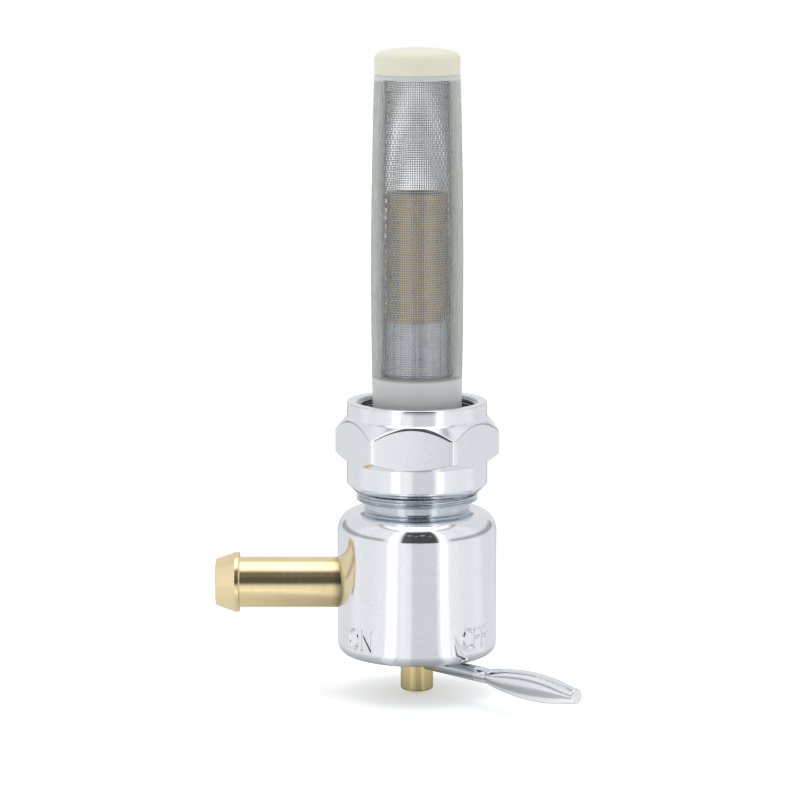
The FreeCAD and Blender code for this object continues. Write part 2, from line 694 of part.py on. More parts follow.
def make_lever():
    """A round rod through the stem, its tail bent down, its far end flattened to a finger paddle."""
    rod = bind(doc.addObject("Part::Cylinder", "lever_rod"), Radius="lever_rod_radius",
               Height="lever_neck_length + lever_tail_length")
    along_lever(rod, "-lever_tail_length")
    bend = bind(
        doc.addObject("Part::Torus", "lever_bend"),
        Radius1="lever_tail_bend_radius",
        Radius2="lever_rod_radius",
        Angle3="lever_tail_bend_angle",
    )
    heading = FreeCAD.Rotation(FreeCAD.Vector(0, 0, 1), number("lever_turn"))
    upright = FreeCAD.Rotation(FreeCAD.Vector(1, 0, 0), 90)
    start = FreeCAD.Rotation(FreeCAD.Vector(0, 0, 1), 90)
    bend.Placement = FreeCAD.Placement(FreeCAD.Vector(), heading * upright * start)
    on_lever_line(bend, "-lever_tail_length", "lever_tail_bend_radius")
    tail = bind(
        doc.addObject("Part::Cylinder", "lever_tail"),
        Radius="lever_rod_radius",
        Height="lever_tail_drop",
    )
    lean = FreeCAD.Rotation(FreeCAD.Vector(0, 1, 0), -(90 + number("lever_tail_bend_angle")))
    tail.Placement = FreeCAD.Placement(FreeCAD.Vector(), heading * lean)
    far = "-lever_tail_length - lever_tail_bend_radius * sin(lever_tail_bend_angle)"
    on_lever_line(tail, far, "lever_tail_bend_radius * (1 - cos(lever_tail_bend_angle))")
    sections = []
    stations = [
        ("0", "2 * lever_rod_radius", "2 * lever_rod_radius"),
        ("0.02", "2 * lever_waist_radius", "2 * lever_waist_radius"),
        ("0.13", "0.72 * paddle_belly_height", "0.9 * paddle_belly_thickness"),
        ("0.3", "0.89 * paddle_belly_height", "paddle_belly_thickness"),
        ("0.52", "paddle_belly_height", "paddle_belly_thickness"),
        ("0.74", "0.85 * paddle_belly_height", "0.93 * paddle_belly_thickness"),
        ("0.9", "0.67 * paddle_belly_height", "0.8 * paddle_belly_thickness"),
        ("1", "paddle_tip_height", "paddle_tip_thickness"),
    ]
    for count, (share, height, thickness) in enumerate(stations):
        section = doc.addObject("Part::Ellipse", f"paddle_section_{count}")
        bind(section, MajorRadius=f"({height}) / 2", MinorRadius=f"({thickness}) / 2")
        sections.append(along_lever(section, f"lever_neck_length + {share} * paddle_length"))
    paddle = doc.addObject("Part::Loft", "paddle_form")
    paddle.Sections = sections
    paddle.Solid = True
    press = bind(doc.addObject("Part::Box", "paddle_press"), Length="2 * paddle_belly_height",
                 Width="paddle_flat_thickness", Height="paddle_length * 2")
    press.Placement = lever_frame()
    side = "(paddle_flat_thickness / 2)"
    place(
        press,
        f"(lever_neck_length - paddle_length / 2) * cos(lever_turn) + {side} * sin(lever_turn)",
        f"(lever_neck_length - paddle_length / 2) * sin(lever_turn) - {side} * cos(lever_turn)",
        f"-{LEVER_DEPTH} + paddle_belly_height",
    )
    pressed = doc.addObject("Part::Common", "paddle")
    pressed.Base = paddle
    pressed.Tool = press
    return joined("lever", [rod, bend, tail, pressed])


MAKERS = [
    make_valve_body,
    make_union_nut,
    make_tank_gasket,
    make_strainer_frame,
    make_strainer_screen,
    make_strainer_cap,
    make_standpipe,
    make_outlet_nipple,
    make_port_seat,
    make_seat_pin,
    make_valve_plug,
    make_plug_seals,
    make_thrust_washer,
    make_disc_spring,
    make_end_plate,
    make_stem_seal,
    make_retaining_ring,
    make_lever,
]

NODES = [
    "valve_body",
    "union_nut",
    "tank_gasket",
    "strainer_frame",
    "strainer_screen",
    "strainer_cap",
    "standpipe",
    "outlet_nipple",
    "port_seat",
    "seat_pin",
    "valve_plug",
    "plug_seal_upper",
    "plug_seal_lower",
    "thrust_washer",
    "disc_spring",
    "end_plate",
    "stem_seal",
    "retaining_ring",
    "lever",
]

for make in MAKERS:
    make()
doc.recompute()

failed = [item.Name for item in doc.Objects if "Invalid" in item.State or "Error" in item.State]
if failed:
    raise RuntimeError(f"these failed: {failed}")

os.makedirs("parts", exist_ok=True)
for node in NODES:
    piece = doc.getObject(node)
    if piece.Shape.isNull() or not piece.Shape.isValid() or len(piece.Shape.Solids) != 1:
        raise RuntimeError(f"{node} is not one whole solid")
for node in NODES:
    piece = doc.getObject(node)
    piece.Shape.exportStep(f"parts/{node}.step")
    box = piece.Shape.BoundBox
    faces = len(piece.Shape.Faces)
    print(f"{node}: {piece.Shape.Volume:.1f} mm3, z {box.ZMin:.2f} to {box.ZMax:.2f}, faces {faces}")
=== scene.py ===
import bpy
import math
import numpy as np
from mathutils import Matrix, Vector


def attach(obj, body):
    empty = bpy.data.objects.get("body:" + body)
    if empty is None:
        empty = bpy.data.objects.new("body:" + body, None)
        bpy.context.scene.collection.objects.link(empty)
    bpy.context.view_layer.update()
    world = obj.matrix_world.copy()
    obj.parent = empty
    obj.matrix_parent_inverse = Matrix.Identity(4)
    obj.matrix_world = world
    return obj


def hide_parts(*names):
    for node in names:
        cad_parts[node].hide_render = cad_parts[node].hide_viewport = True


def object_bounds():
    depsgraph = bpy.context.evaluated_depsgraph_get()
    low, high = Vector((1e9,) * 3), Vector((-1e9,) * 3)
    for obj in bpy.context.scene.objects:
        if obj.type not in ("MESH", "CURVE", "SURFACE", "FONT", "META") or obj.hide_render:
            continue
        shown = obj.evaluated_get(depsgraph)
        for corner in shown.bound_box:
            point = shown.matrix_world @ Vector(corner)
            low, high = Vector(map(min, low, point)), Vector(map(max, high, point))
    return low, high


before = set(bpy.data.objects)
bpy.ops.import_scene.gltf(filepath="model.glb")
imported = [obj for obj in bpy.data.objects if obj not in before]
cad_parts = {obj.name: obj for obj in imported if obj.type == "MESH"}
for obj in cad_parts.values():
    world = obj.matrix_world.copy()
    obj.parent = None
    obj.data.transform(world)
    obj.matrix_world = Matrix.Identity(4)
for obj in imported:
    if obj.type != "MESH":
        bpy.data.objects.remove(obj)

cad_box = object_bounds()

# Sizes in millimetres, heights from the tank joint plane, as in the CAD model
MM = 0.001
BODY_RADIUS = 14.95
BODY_TOP = -20.6
BODY_BOTTOM = -48.0
MARKS_FOOT = -46.2
MARKS_HEAD = -40.2
MARKS_ANGLES = (33, 64)
NECK_RADIUS = 9.8
THREAD_RADIUS = 11.4
THREAD_PITCH = 1.0
THREAD_DEPTH = 0.45
THREAD_TOP = -8.5
THREAD_END = -18.7
SPIGOT_RADIUS = 6.3
SPIGOT_TOP = 15.3
SOCKET_FLOOR = 7.3
PIPE_RADIUS = 5.65
PIPE_WALL = 0.9
PIPE_TOP = 38.9
CHAMBER_RADIUS = 8.0
PLATE_FOOT = -46.3
NUT_BOTTOM = -17.0
NUT_SKIRT_RADIUS = 13.2
NUT_COLLAR_RADIUS = 13.1
NUT_CORNER_RADIUS = 15.4
NUT_TURN = math.radians(-4.2)
NUT_APOTHEM = 13.5
TANK_THREAD_RADIUS = 11.0
TANK_THREAD_FOOT = -7.6
STRAINER_TOP = 60.7
STRAINER_TOP_RADIUS = 7.95
STRAINER_BELLY = 26.0
STRAINER_BELLY_RADIUS = 8.6
STRAINER_BASE_RADIUS = 8.35
STRAINER_FOOT = -8.5
COLLAR_TOP = 5.1
STEP_TOP = 1.7
WINDOW_TOP = 59.8
WINDOW_HALF_ANGLE = math.radians(52)
STRAINER_WALL = 1.0
CAP_RIM = 64.6
CAP_CROWN = 1.05
OUTLET_Z = -34.7
BARB_RADIUS = 5.65
BARB_START = 33.4
NIPPLE_RADIUS = 4.77
NIPPLE_BORE = 3.25
NIPPLE_START = 9.5
NIPPLE_END = 37.9
STEM_RADIUS = 3.07
STEM_BOTTOM = -55.3
LEVER_Z = -49.72
LEVER_TURN = math.radians(-45)


# Making meshes

def deselect():
    """Leave nothing selected."""
    bpy.ops.object.select_all(action="DESELECT")


def choose(piece):
    """Select one piece and make it active."""
    deselect()
    piece.select_set(True)
    bpy.context.view_layer.objects.active = piece


def rounded(corners, steps=5):
    """An outline of (radius, height) points from corners, rounded where a third number gives a radius.

    A fourth number gives the steps of that rounding.
    """
    points = []
    count = len(corners)
    for index, corner in enumerate(corners):
        here = Vector(corner[:2])
        if len(corner) < 3 or not corner[2]:
            points.append(here)
            continue
        back = (Vector(corners[index - 1][:2]) - here).normalized()
        ahead = (Vector(corners[(index + 1) % count][:2]) - here).normalized()
        half = back.angle(ahead) / 2
        reach = corner[2] / math.tan(half)
        centre = here + (back + ahead).normalized() * (corner[2] / math.sin(half))
        first = here + back * reach - centre
        last = here + ahead * reach - centre
        sweep = first.angle_signed(last)
        arc_steps = corner[3] if len(corner) > 3 else steps
        for step in range(arc_steps + 1):
            turn = -sweep * step / arc_steps
            points.append(centre + Matrix.Rotation(turn, 2) @ first)
    return points


def start_at(name, point):
    """A new object in edit mode that holds one vertex."""
    deselect()
    bpy.ops.mesh.primitive_plane_add(size=MM)
    piece = bpy.context.object
    piece.name = name
    piece.data.name = name
    bpy.ops.object.mode_set(mode="EDIT")
    bpy.ops.mesh.select_all(action="SELECT")
    bpy.ops.mesh.merge(type="CENTER")
    bpy.ops.transform.translate(value=point)
    return piece


def turned(name, outline, segments=192, closed=True):
    """A piece turned about +Z from its outline of (radius, height) points in millimetres."""
    points = [Vector((x, 0, z)) * MM for x, z in outline]
    if closed:
        points.append(points[0])
    piece = start_at(name, points[0])
    for start, end in zip(points, points[1:]):
        bpy.ops.mesh.extrude_region_move(TRANSFORM_OT_translate={"value": end - start})
    bpy.ops.mesh.select_all(action="SELECT")
    bpy.ops.mesh.spin(steps=segments, angle=math.tau, center=(0, 0, 0), axis=(0, 0, 1))
    bpy.ops.mesh.select_all(action="SELECT")
    bpy.ops.mesh.remove_doubles(threshold=1e-7)
    bpy.ops.mesh.normals_make_consistent(inside=False)
    bpy.ops.object.mode_set(mode="OBJECT")
    return piece


def apply_modifier(piece, kind, **settings):
    """Add a modifier with these settings and apply it at once."""
    modifier = piece.modifiers.new(kind.title(), kind)
    for key, value in settings.items():
        setattr(modifier, key, value)
    choose(piece)
    bpy.ops.object.modifier_apply(modifier=modifier.name)


def smooth(piece, angle=35, weighted=True):
    """Shade a piece smooth, apart from edges sharper than the angle."""
    choose(piece)
    bpy.ops.object.shade_smooth_by_angle(angle=math.radians(angle))
    if weighted:
        apply_modifier(piece, "WEIGHTED_NORMAL", keep_sharp=True, weight=60)


def settle(piece):
    """Write the object's place into its mesh."""
    choose(piece)
    bpy.ops.object.transform_apply(location=True, rotation=True, scale=True)


def lay_along_outlet(piece):
    """Turn a piece made along +Z to lie along -X on the outlet's axis."""
    piece.rotation_euler = (0, -math.pi / 2, 0)
    piece.location = (0, 0, OUTLET_Z * MM)
    settle(piece)


def dress(piece, finish, body, slot, *nodes):
    """Give a piece its finish, its body and the nodes that it stands for."""
    piece.data.materials.clear()
    piece.data.materials.append(finish)
    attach(piece, body)
    if nodes:
        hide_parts(*nodes)


def ease(low, high, value):
    """0 below low, 1 above high, smooth between them."""
    share = min(max((value - low) / (high - low), 0), 1)
    return share * share * (3 - 2 * share)


def softly_least(first, second, radius):
    """The lesser of two distances, rounded where they cross."""
    gap = max(radius - abs(first - second), 0) / radius
    return min(first, second) - gap * gap * radius / 4


# Making materials

def node(tree, kind, inputs=None, **settings):
    """A shader node with these settings, and with inputs that are values or another node's results."""
    made = tree.nodes.new(kind)
    for key, value in settings.items():
        setattr(made, key, value)
    for key, value in (inputs or {}).items():
        if isinstance(value, bpy.types.NodeSocket):
            tree.links.new(value, made.inputs[key])
        else:
            made.inputs[key].default_value = value
    return made


def sums(tree, operation, *values):
    """A Math node's result."""
    return node(tree, "ShaderNodeMath", dict(enumerate(values)), operation=operation).outputs[0]


def stepped(tree, value, low, high):
    """0 below low, 1 above high, smooth between."""
    inputs = {"Value": value, "From Min": low, "From Max": high}
    return node(tree, "ShaderNodeMapRange", inputs, interpolation_type="SMOOTHSTEP").outputs[0]


def banded(tree, value, low, high, soft):
    """1 between low and high, 0 outside, with soft edges."""
    rise = stepped(tree, value, low - soft, low + soft)
    fall = stepped(tree, value, high - soft, high + soft)
    return sums(tree, "SUBTRACT", rise, fall)


def mixed(tree, factor, first, second):
    """Two colours mixed by a factor."""
    made = node(tree, "ShaderNodeMix", {"Factor": factor}, data_type="RGBA")
    for index, value in ((6, first), (7, second)):
        if isinstance(value, bpy.types.NodeSocket):
            tree.links.new(value, made.inputs[index])
        else:
            made.inputs[index].default_value = value
    return made.outputs[2]


def finish_named(name, **settings):
    """A new material whose shader has these settings."""
    made = bpy.data.materials.new(name)
    made.use_nodes = True
    shader = made.node_tree.nodes["Principled BSDF"]
    for key, value in settings.items():
        shader.inputs[key.replace("_", " ")].default_value = value
    return made, made.node_tree, shader


def noise(tree, scale, detail, stretch=(1, 1, 1)):
    """Noise on Object coordinates, finer along an axis with a larger stretch."""
    place = node(tree, "ShaderNodeTexCoord").outputs["Object"]
    place = node(tree, "ShaderNodeMapping", {"Vector": place, "Scale": stretch}).outputs[0]
    inputs = {"Vector": place, "Scale": scale, "Detail": detail}
    return node(tree, "ShaderNodeTexNoise", inputs).outputs["Fac"]


def bump(tree, shader, height, distance, strength):
    """Give a shader fine relief from a height."""
    made = node(tree, "ShaderNodeBump", {"Height": height, "Distance": distance, "Strength": strength})
    tree.links.new(made.outputs[0], shader.inputs["Normal"])


def make_chrome(name, painted_shade_place, painted_shade_tint):
    """Bright plating with a faint haze, with painted shade inside a radius and between two heights in
    millimetres.
    """
    made, tree, shader = finish_named(name, Metallic=1.0)
    haze = noise(tree, 260, 5)
    speckle = noise(tree, 2300, 2)
    tint = mixed(tree, haze, (0.85, 0.87, 0.9, 1), (0.9, 0.915, 0.94, 1))
    tint = mixed(tree, stepped(tree, speckle, 0.45, 0.8), tint, (0.81, 0.835, 0.87, 1))
    radius, low, high = painted_shade_place
    place = node(tree, "ShaderNodeTexCoord").outputs["Object"]
    parts = node(tree, "ShaderNodeSeparateXYZ", {"Vector": place}).outputs
    flat = node(tree, "ShaderNodeCombineXYZ", {"X": parts["X"], "Y": parts["Y"]}).outputs[0]
    out = node(tree, "ShaderNodeVectorMath", {0: flat}, operation="LENGTH").outputs["Value"]
    inside = sums(tree, "LESS_THAN", out, radius * MM)
    between = banded(tree, parts["Z"], low * MM, high * MM, 0.2 * MM)
    # Painted shade: the tint darkens the plating inside the radius and between the two heights.
    tint = mixed(tree, sums(tree, "MULTIPLY", inside, between), tint, (*painted_shade_tint, 1))
    tree.links.new(tint, shader.inputs["Base Color"])
    wear = node(tree, "ShaderNodeMapRange", {"Value": noise(tree, 90, 6), "To Min": 0.06, "To Max": 0.14})
    tree.links.new(wear.outputs[0], shader.inputs["Roughness"])
    bump(tree, shader, noise(tree, 420, 2), 0.00001, 0.35)
    return made


def make_brass(name, axis, deep, pale):
    """Turned brass: fine tool marks round an axis, with a slow change of colour, and along X painted shade
    where the outlet meets the body.
    """
    made, tree, shader = finish_named(name, Metallic=1.0)
    stretch = (1, 0.04, 0.04) if axis == "X" else (0.04, 0.04, 1)
    marks = noise(tree, 9000, 2, stretch)
    cloud = noise(tree, 160, 4)
    tint = mixed(tree, cloud, (*deep, 1), (*pale, 1))
    if axis == "X":
        place = node(tree, "ShaderNodeTexCoord").outputs["Object"]
        along = node(tree, "ShaderNodeSeparateXYZ", {"Vector": place}).outputs["X"]
        # Painted shade: darker where the outlet's root meets the body.
        shade_by_body = stepped(tree, along, -16.2 * MM, -13.8 * MM)
        tint = mixed(tree, shade_by_body, tint, (0.26, 0.22, 0.13, 1))
    tree.links.new(tint, shader.inputs["Base Color"])
    wear = node(tree, "ShaderNodeMapRange", {"Value": marks, "To Min": 0.16, "To Max": 0.3})
    tree.links.new(wear.outputs[0], shader.inputs["Roughness"])
    bump(tree, shader, marks, 0.00003, 0.3)
    return made


def make_nylon():
    """Cloudy moulded nylon that lets less light through at the thick collar and the top ring."""
    made, tree, shader = finish_named("clear_nylon", Roughness=0.22, IOR=1.45)
    cloud = noise(tree, 120, 4)
    tint = mixed(tree, cloud, (0.8, 0.84, 0.8, 1), (0.88, 0.91, 0.88, 1))
    place = node(tree, "ShaderNodeTexCoord").outputs["Object"]
    height = node(tree, "ShaderNodeSeparateXYZ", {"Vector": place}).outputs["Z"]
    thin = banded(tree, height, (COLLAR_TOP - 0.6) * MM, (WINDOW_TOP - 0.2) * MM, 0.4 * MM)
    tint = mixed(tree, thin, (0.93, 0.96, 0.95, 1), tint)
    through = sums(tree, "ADD", 0.25, sums(tree, "MULTIPLY", thin, 0.6))
    tree.links.new(through, shader.inputs["Transmission Weight"])
    tree.links.new(tint, shader.inputs["Base Color"])
    bump(tree, shader, noise(tree, 700, 3), 0.00004, 0.4)
    return made


def make_cream():
    """Cream plastic that lets a little light in."""
    settings = {"Roughness": 0.38, "Subsurface_Weight": 0.15, "Subsurface_Scale": 0.002}
    made, tree, shader = finish_named("cream_plastic", **settings)
    cloud = noise(tree, 300, 4)
    tint = mixed(tree, cloud, (0.97, 0.94, 0.7, 1), (1.0, 0.98, 0.84, 1))
    tree.links.new(tint, shader.inputs["Base Color"])
    bump(tree, shader, noise(tree, 1500, 3), 0.00005, 0.5)
    return made


def make_wire():
    """Drawn steel wire with a slight change of colour and gloss."""
    made, tree, shader = finish_named("steel_wire", Metallic=1.0)
    cloud = noise(tree, 500, 3)
    tint = mixed(tree, cloud, (0.46, 0.47, 0.49, 1), (0.72, 0.73, 0.75, 1))
    tree.links.new(tint, shader.inputs["Base Color"])
    wear = node(tree, "ShaderNodeMapRange", {"Value": cloud, "To Min": 0.22, "To Max": 0.4})
    tree.links.new(wear.outputs[0], shader.inputs["Roughness"])
    return made


def make_plain(name, dark, pale, rough_low, rough_high, metallic=0.0):
    """A finish with a slight change of colour and gloss, and a fine grain."""
    made, tree, shader = finish_named(name, Metallic=metallic)
    cloud = noise(tree, 900, 4)
    tree.links.new(mixed(tree, cloud, (*dark, 1), (*pale, 1)), shader.inputs["Base Color"])
    wear = node(tree, "ShaderNodeMapRange", {"Value": cloud, "To Min": rough_low, "To Max": rough_high})
    tree.links.new(wear.outputs[0], shader.inputs["Roughness"])
    bump(tree, shader, cloud, 0.00002, 0.4)
    return made


# The studio: a white surround with soft boxes and a dark space behind the camera

# How bright the wall is
WALL = 0.95

# Angle from the camera, low and high, softness, gain
STRIPS = [
    (-42, -27, 1.5, 0.3),
    (-23, -14, 2.5, 0.06),
    (31, 43, 1.5, 0.3),
    (-7.5, 27, 2.5, -0.22),
    (60, 88, 10, -0.06),
    (-88, -60, 10, -0.06),
]
# Angles across, angles up, softness, share of the light that is lost
DARK_SPACES = [
    ((-23, 31), (1, 59), 2.5, 0.9),
    ((48, 150), (3, 15), 4.0, 0.5),
    ((-150, -48), (3, 15), 4.0, 0.5),
    ((45, 181), (58, 62), 1.5, 0.4),
    ((-181, -40), (58, 62), 1.5, 0.4),
]
# Small pale things in the dark space over the camera: angle across, angle up, half width, light
GLINTS = [(-13, 40, 3, 0.3), (-2, 37, 2.5, 0.22), (9, 41, 3.5, 0.3), (21, 36, 2.5, 0.2)]
# The faint blue of what metal sees
STUDIO_TINT = (0.97, 0.985, 1.0, 1)


def azimuth_of(tree, parts):
    """The angle round from the camera, in degrees, of a direction's or a place's parts."""
    forward = sums(tree, "MULTIPLY", parts["Y"], -1.0)
    return sums(tree, "DEGREES", sums(tree, "ARCTAN2", parts["X"], forward))


def shown_plainly(tree):
    """1 for what the camera sees straight or through the object, 0 for what lights it."""
    rays = node(tree, "ShaderNodeLightPath").outputs
    return sums(tree, "MAXIMUM", rays["Is Camera Ray"], rays["Is Transmission Ray"])


def studio_light(tree, direction):
    """How bright the studio is in a direction, as its metal shows it."""
    parts = node(tree, "ShaderNodeSeparateXYZ", {"Vector": direction}).outputs
    azimuth = azimuth_of(tree, parts)
    height = sums(tree, "DEGREES", sums(tree, "ARCSINE", parts["Z"]))
    light = wall_light(tree, azimuth)
    for (left, right), (low, high), soft, share in DARK_SPACES:
        across = banded(tree, azimuth, left, right, soft)
        dark = sums(tree, "MULTIPLY", across, banded(tree, height, low, high, soft))
        keep = sums(tree, "SUBTRACT", 1.0, sums(tree, "MULTIPLY", dark, share))
        light = sums(tree, "MULTIPLY", light, keep)
    for across, up, half, glint in GLINTS:
        seen = banded(tree, azimuth, across - half, across + half, 1.0)
        seen = sums(tree, "MULTIPLY", seen, banded(tree, height, up - half, up + half, 1.0))
        light = sums(tree, "ADD", light, sums(tree, "MULTIPLY", seen, glint))
    overhead = stepped(tree, height, 62.0, 70.0)
    return sums(tree, "ADD", light, overhead)


def wall_light(tree, azimuth):
    """How bright the studio's wall is at an angle round from the camera."""
    light = WALL
    for low, high, soft, gain in STRIPS:
        strip = sums(tree, "MULTIPLY", banded(tree, azimuth, low, high, soft), gain)
        light = sums(tree, "ADD", light, strip)
    back = stepped(tree, sums(tree, "ABSOLUTE", azimuth), 88.0, 112.0)
    return sums(tree, "SUBTRACT", light, sums(tree, "MULTIPLY", back, 0.14))


def make_world():
    """A world that is plain white to the camera and lights the object as the studio does."""
    world = bpy.data.worlds.new("studio")
    bpy.context.scene.world = world
    world.use_nodes = True
    tree = world.node_tree
    background = tree.nodes["Background"]
    direction = node(tree, "ShaderNodeTexCoord").outputs["Generated"]
    light = studio_light(tree, direction)
    grey = node(tree, "ShaderNodeCombineColor", {"Red": light, "Green": light, "Blue": light}).outputs[0]
    cool = node(tree, "ShaderNodeMix", {"Factor": 1.0}, data_type="RGBA", blend_type="MULTIPLY")
    tree.links.new(grey, cool.inputs[6])
    cool.inputs[7].default_value = STUDIO_TINT
    colour = mixed(tree, shown_plainly(tree), cool.outputs[2], (1, 1, 1, 1))
    tree.links.new(colour, background.inputs["Color"])
    background.inputs["Strength"].default_value = 1.0


def make_floor():
    """A pale floor under the stem, which metal sees as a painted glow as bright as the studio's walls, with
    painted shade near the object.
    """
    deselect()
    gap_under_stem = 0.6 * MM
    bpy.ops.mesh.primitive_plane_add(size=3.0, location=(0, 0, cad_box[0][2] - gap_under_stem))
    floor = bpy.context.object
    floor.name = "studio_floor"
    made, tree, shader = finish_named("pale_floor", Roughness=0.9)
    shader.inputs["Base Color"].default_value = (0.93, 0.93, 0.93, 1)
    rays = node(tree, "ShaderNodeLightPath").outputs
    place = node(tree, "ShaderNodeTexCoord").outputs["Object"]
    parts = node(tree, "ShaderNodeSeparateXYZ", {"Vector": place}).outputs
    reach = node(tree, "ShaderNodeVectorMath", {0: place}, operation="LENGTH").outputs["Value"]
    azimuth = azimuth_of(tree, parts)
    behind = stepped(tree, sums(tree, "ABSOLUTE", azimuth), 145.0, 172.0)
    light = sums(tree, "SUBTRACT", wall_light(tree, azimuth), sums(tree, "MULTIPLY", behind, 0.35))
    # Painted shade: the glow is darker close to the object, standing for the shade under it.
    light = sums(tree, "MULTIPLY", light, stepped(tree, reach, -0.03, 0.06))
    painted_glow = node(tree, "ShaderNodeEmission", {"Color": STUDIO_TINT, "Strength": light}).outputs[0]
    lift = sums(tree, "MULTIPLY", shown_plainly(tree), 0.42)
    white = node(tree, "ShaderNodeEmission", {"Strength": lift}).outputs[0]
    lifted = node(tree, "ShaderNodeAddShader", {0: shader.outputs[0], 1: white}).outputs[0]
    shown = node(tree, "ShaderNodeMixShader", {0: rays["Is Glossy Ray"], 1: lifted, 2: painted_glow}).outputs[0]
    tree.links.new(shown, tree.nodes["Material Output"].inputs["Surface"])
    floor.data.materials.append(made)


def make_camera():
    """The photograph's view: 9 degrees down, with a long lens, a little left of the axis."""
    left, distance = -0.0032, 0.613
    pitch = math.radians(9)
    deselect()
    bpy.ops.object.camera_add(location=(left, -distance * math.cos(pitch), distance * math.sin(pitch)))
    camera = bpy.context.object
    camera.rotation_euler = (math.pi / 2 - pitch, 0, 0)
    camera.data.lens = 147.6
    camera.data.clip_start = 0.05
    bpy.context.scene.camera = camera


# Marks pressed into the body, as strokes on its unrolled wall

def letter_strokes():
    """Strokes of the marks, each a list of (angle in degrees, height) points."""
    strokes = []
    tall = 3.5
    degree = math.radians(1) * BODY_RADIUS

    def add(letter, middle, foot):
        wide = {"O": 2.5, "N": 2.3, "F": 2.0}[letter]
        left, right = middle - wide / 2 / degree, middle + wide / 2 / degree
        top, centre = foot + tall, foot + tall / 2
        if letter == "O":
            ring_steps = 20
            turns = [math.tau * step / ring_steps for step in range(ring_steps + 1)]
            across, up = wide / 2 / degree, tall / 2
            strokes.append([(middle + across * math.sin(t), centre + up * math.cos(t)) for t in turns])
        if letter == "N":
            strokes.append([(left, foot), (left, top), (right, foot), (right, top)])
        if letter == "F":
            strokes.append([(left, foot), (left, top), (right, top)])
            strokes.append([(left, centre + 0.1), (right - 0.5 / degree, centre + 0.1)])

    left_foot, right_foot = -45.3, -44.8
    for letter, middle in (("O", -51.8), ("N", -39.3)):
        add(letter, middle, left_foot)
    for letter, middle in (("O", 39.3), ("F", 48.6), ("F", 57.2)):
        add(letter, middle, right_foot)
    return strokes


def to_stroke(point, stroke):
    """The distance from a point on the unrolled wall to a stroke."""
    least = 1e9
    for start, end in zip(stroke, stroke[1:]):
        run = end - start
        share = min(max((point - start).dot(run) / run.length_squared, 0), 1)
        least = min(least, (point - start - run * share).length)
    return least


def by_marks(x, y, z, head):
    """Whether a place on the body's wall lies in the two patches that carry the marks."""
    first, last = MARKS_ANGLES
    return first < abs(math.degrees(math.atan2(x, -y))) < last and MARKS_FOOT < z < head


def press_marks(piece):
    """Press the marks into the body's wall, with a small burr beside each stroke."""
    wide = math.radians(1) * BODY_RADIUS
    strokes = [[Vector((angle * wide, height)) for angle, height in stroke] for stroke in letter_strokes()]
    half_width, depth, burr = 0.24, 0.26, 0.035
    for vertex in piece.data.vertices:
        x, y, z = vertex.co / MM
        angle = math.degrees(math.atan2(x, -y))
        if abs(math.hypot(x, y) - BODY_RADIUS) > 0.03 or not by_marks(x, y, z, MARKS_HEAD - 0.2):
            continue
        point = Vector((angle * wide, z))
        reach = min(to_stroke(point, stroke) for stroke in strokes)
        sunk = depth * (1 - ease(half_width * 0.35, half_width * 1.25, reach))
        rise = ease(half_width, half_width * 1.5, reach)
        raised = burr * rise * (1 - ease(half_width * 1.5, half_width * 2.6, reach))
        radius = BODY_RADIUS - sunk + raised
        vertex.co.x = radius * MM * math.sin(math.radians(angle))
        vertex.co.y = -radius * MM * math.cos(math.radians(angle))


def edit_chosen(piece, kind, chosen, action):
    """Select the faces or edges that a test picks, and do something to them in edit mode."""
    choose(piece)
    bpy.ops.object.mode_set(mode="EDIT")
    bpy.ops.mesh.select_mode(type=kind)
    bpy.ops.mesh.select_all(action="DESELECT")
    bpy.ops.object.mode_set(mode="OBJECT")
    for part in piece.data.polygons if kind == "FACE" else piece.data.edges:
        part.select = chosen(part)
    bpy.ops.object.mode_set(mode="EDIT")
    action()
    bpy.ops.mesh.select_mode(type="VERT")
    bpy.ops.object.mode_set(mode="OBJECT")


def thread_shift(angle, height, pitch, depth, top, bottom):
    """How far a cut thread's flank lies under its crest, run out at both ends."""
    phase = (height / pitch - angle / math.tau) % 1.0
    flank = abs(phase * 2 - 1)
    shape = ease(0.12, 0.88, flank)
    ends = ease(bottom, bottom + 0.4, height) * (1 - ease(top - 0.4, top, height))
    return depth * shape * ends


